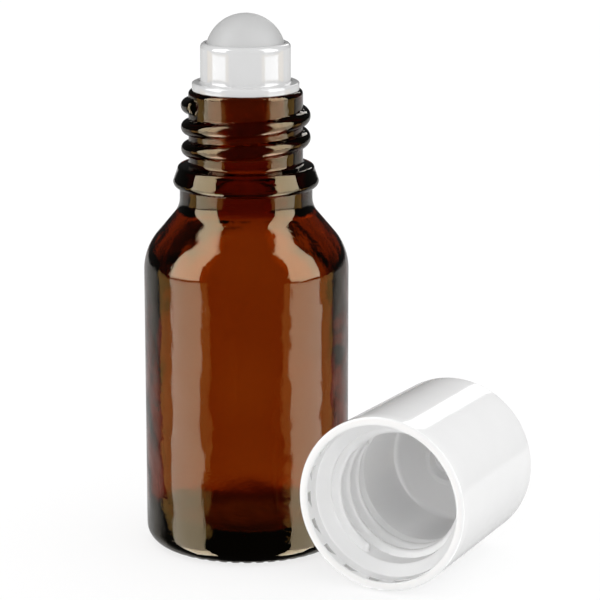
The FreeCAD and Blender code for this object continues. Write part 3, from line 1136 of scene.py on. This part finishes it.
@dataclass
class Studio:
    """Floor, light and camera: two upright softboxes beside the camera's axis, in metres and degrees."""

    azimuth: float = 25.3
    pitch: float = 13.34
    distance: float = 0.38
    aside: float = 0.00747
    eye_height: float = 0.1247
    lens: float = 167.5
    clip_start: float = 0.01
    clip_end: float = 10.0
    floor_width: float = 6.0
    floor_drop: float = 0.00003
    floor_shade: float = 0.95
    shadow_share: float = 0.25
    ambient: float = 1.16
    backdrop_start: float = 0.008
    backdrop_full: float = 0.022
    backdrop_half: float = 0.075
    backdrop_soft: float = 0.03
    backdrop_taper: float = 0.25
    backdrop_far: float = 0.2
    backdrop_edge: float = 0.65
    backdrop_fade: float = 0.2
    dark_wall: float = 0.03
    table_edge: float = 0.3
    table_fade: float = 0.25
    table_level: float = -0.06
    table_soft: float = 0.06
    table_glow: float = 0.5
    boxes: tuple[Softbox, ...] = (
        Softbox(-1.2, -0.45, 9.0), Softbox(-0.45, -0.005, 3.8), Softbox(0.028, 1.1, 7.0),
        Softbox(-0.235, -0.005, 1.1, angle=77, distance=0.66, width=0.92, colour=(1, 0.68, 0.27, 1)))
    strip_way: tuple[float, float, float] = (-0.065, 0.88, 0.465)
    strip_distance: float = 0.8
    strip_width: float = 0.14
    strip_height: float = 0.3
    strip_glow: float = 2.5
    spot_distance: float = 0.12
    spot_rise: float = 32.0
    spot_size: float = 0.04
    spot_spread: float = 40.0
    spot_glow: float = 0.8

    def __post_init__(self) -> None:
        """Works out the level directions to the camera and to its right."""
        turn = math.radians(self.azimuth)
        self.back = Vector((math.sin(turn), -math.cos(turn), 0))
        self.right = Vector((math.cos(turn), math.sin(turn), 0))

    def lay_floor(self) -> bpy.types.Object:
        """Lays the pale floor, which the camera sees almost white and with a soft shadow.

        Returns:
            The floor.
        """
        material, board = new_material("pale_floor")
        path = board.node("ShaderNodeLightPath")
        seen, matt = (Field(board, path.outputs[name]) for name in ("Is Camera Ray", "Diffuse Depth"))
        through = Field(board, path.outputs["Is Transmission Ray"]) * (1 - matt.clamped())
        behind = board.along(board.spot(), -self.back)
        aside = board.math("ABSOLUTE", board.along(board.spot(), self.right), 0.0)
        lit = board.ramp(behind, self.backdrop_start, self.backdrop_full) * board.ramp(
            aside + board.math("MINIMUM", behind, self.backdrop_far) * self.backdrop_taper,
            self.backdrop_half + self.backdrop_soft, self.backdrop_half)
        paint = board.value("ShaderNodeBsdfDiffuse", {}, {"Color": grey(self.floor_shade)})
        white = board.value("ShaderNodeEmission", {}, {"Strength": seen + through * lit})
        glow = (seen * (1 - self.shadow_share) + through).clamped()
        board.ends_in(board.value("ShaderNodeMixShader", {}, {0: glow, 1: paint, 2: white}))
        place = Matrix.Translation((0, 0, -self.floor_drop))
        floor = stage_sheet("floor", place, (self.floor_width, self.floor_width), material)
        floor.visible_glossy = False
        return floor

    def fill_world(self) -> None:
        """Makes the room: white to the eye, even on matt surfaces, and for glass a backdrop in the dark."""
        world = bpy.data.worlds.new("studio")
        world.use_nodes = True
        board = NodeBoard(world.node_tree)
        path = board.node("ShaderNodeLightPath")
        seen, through, mirrored, matt = (Field(board, path.outputs[name]) for name in (
            "Is Camera Ray", "Is Transmission Ray", "Is Glossy Ray", "Diffuse Depth"))
        towards = board.value("ShaderNodeTexCoord", {}, {}, "Generated")
        behind = board.along(towards, -self.back)
        backdrop = board.ramp(behind, self.backdrop_edge, self.backdrop_edge + self.backdrop_fade)
        table = board.ramp(behind, self.table_edge, self.table_edge + self.table_fade) * board.ramp(
            board.along(towards, Vector((0, 0, 1))), self.table_level, self.table_level - self.table_soft)
        sharp = (through + mirrored).clamped() * (1 - matt.clamped())
        room = through * backdrop + (1 - through) * table * self.table_glow + self.dark_wall
        glow = seen + (1 - seen) * (sharp * room + (1 - sharp) * self.ambient)
        light = board.value("ShaderNodeBackground", {}, {"Color": WHITE, "Strength": glow})
        board.ends_in(light, world=True)
        world.cycles.sampling_method = "NONE"
        bpy.context.scene.world = world

    def hang_card(self, name: str, place: Vector, size: tuple[float, float], glow: float,
                  aim: Vector = Vector((0, 0, 0)), colour: Colour = WHITE) -> bpy.types.Object:
        """Hangs a glowing card that shows only in shiny surfaces and through glass.

        Args:
            name: The card's name.
            place: Where its middle is.
            size: Its width and height.
            glow: How bright its face is, where 1 is white.
            aim: The point that it faces.
            colour: The colour of its face.

        Returns:
            The card.
        """
        material, board = new_material(name)
        board.ends_in(board.value("ShaderNodeEmission", {}, {"Color": colour, "Strength": glow}))
        material.cycles.emission_sampling = "NONE"
        turn = (aim - place).to_track_quat("-Z", "Y").to_matrix().to_4x4()
        card = stage_sheet(name, Matrix.Translation(place) @ turn, size, material)
        card.visible_camera = card.visible_diffuse = card.visible_shadow = False
        return card

    def hang_softbox(self, side: Side, part: Softbox) -> bpy.types.Object:
        """Stands one stretch of softbox beside the camera's axis.

        Args:
            side: Which side of the axis.
            part: The stretch.

        Returns:
            The softbox's card.
        """
        angle = math.radians(part.angle)
        outward = self.back * math.cos(angle) + self.right * (math.sin(angle) * side.value)
        middle = Vector((0, 0, (part.bottom + part.top) / 2))
        return self.hang_card("softbox_" + side.name.lower(), outward * part.distance + middle,
                              (part.width, part.top - part.bottom), part.glow, middle, part.colour)

    def hang_strip(self) -> bpy.types.Object:
        """Hangs a strip behind and above, whose reflection runs along the cap."""
        return self.hang_card("back_strip", Vector(self.strip_way) * self.strip_distance,
                              (self.strip_width, self.strip_height), self.strip_glow)

    def hang_spot(self, ball: bpy.types.Object) -> bpy.types.Object:
        """Hangs a small lamp in front that lights the ball alone, without a reflection of its own.

        Args:
            ball: The roller ball.

        Returns:
            The lamp.
        """
        low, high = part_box("roller_ball")
        middle = (low + high) / 2
        rise = math.radians(self.spot_rise)
        way = self.back * math.cos(rise) + Vector((0, 0, math.sin(rise)))
        lamp = bpy.data.lights.new("ball_light", "AREA")
        lamp.size = self.spot_size
        lamp.energy = self.spot_glow * math.pi * self.spot_size ** 2
        lamp.spread = math.radians(self.spot_spread)
        spot = bpy.data.objects.new("ball_light", lamp)
        spot.location = middle + way * self.spot_distance
        spot.rotation_euler = (-way).to_track_quat("-Z", "Y").to_euler()
        spot.visible_camera = spot.visible_glossy = False
        bpy.context.scene.collection.objects.link(spot)
        lit = bpy.data.collections.new("lit_by_ball_light")
        lit.objects.link(ball)
        spot.light_linking.receiver_collection = lit
        return spot

    def aim_camera(self) -> bpy.types.Object:
        """Sets the camera where the photograph was taken from.

        Returns:
            The camera.
        """
        pitch = math.radians(self.pitch)
        lens = bpy.data.cameras.new("camera")
        lens.lens = self.lens
        lens.clip_start, lens.clip_end = self.clip_start, self.clip_end
        camera = bpy.data.objects.new("camera", lens)
        camera.location = self.back * self.distance + self.right * self.aside
        camera.location.z = self.eye_height
        gaze = Vector((0, 0, -math.sin(pitch))) - self.back * math.cos(pitch)
        camera.rotation_euler = gaze.to_track_quat("-Z", "Y").to_euler()
        bpy.context.scene.collection.objects.link(camera)
        bpy.context.scene.camera = camera
        return camera

    def build(self) -> None:
        """Sets up the whole studio."""
        bpy.context.scene.view_settings.view_transform = "Standard"
        self.lay_floor()
        self.fill_world()
        cards = [self.hang_softbox(side, part) for side in Side for part in self.boxes] + [self.hang_strip()]
        self.aim_camera()
        log.info("studio: floor, world, %d cards and camera", len(cards))


def main() -> None:
    """Builds the studio and the four pieces, in order."""
    logging.basicConfig(level=logging.INFO, format="%(name)s: %(message)s")
    studio = Studio()
    studio.build()
    GlassBottle().build(AmberGlass())
    BallHousing().build(MouldedPlastic("white_housing", shade=0.68, polish=0.6))
    studio.hang_spot(RollerBall().build(FrostedPlastic()))
    ScrewCap().build(MouldedPlastic("white_cap", shade=0.88))


if __name__ == "__main__":
    main()
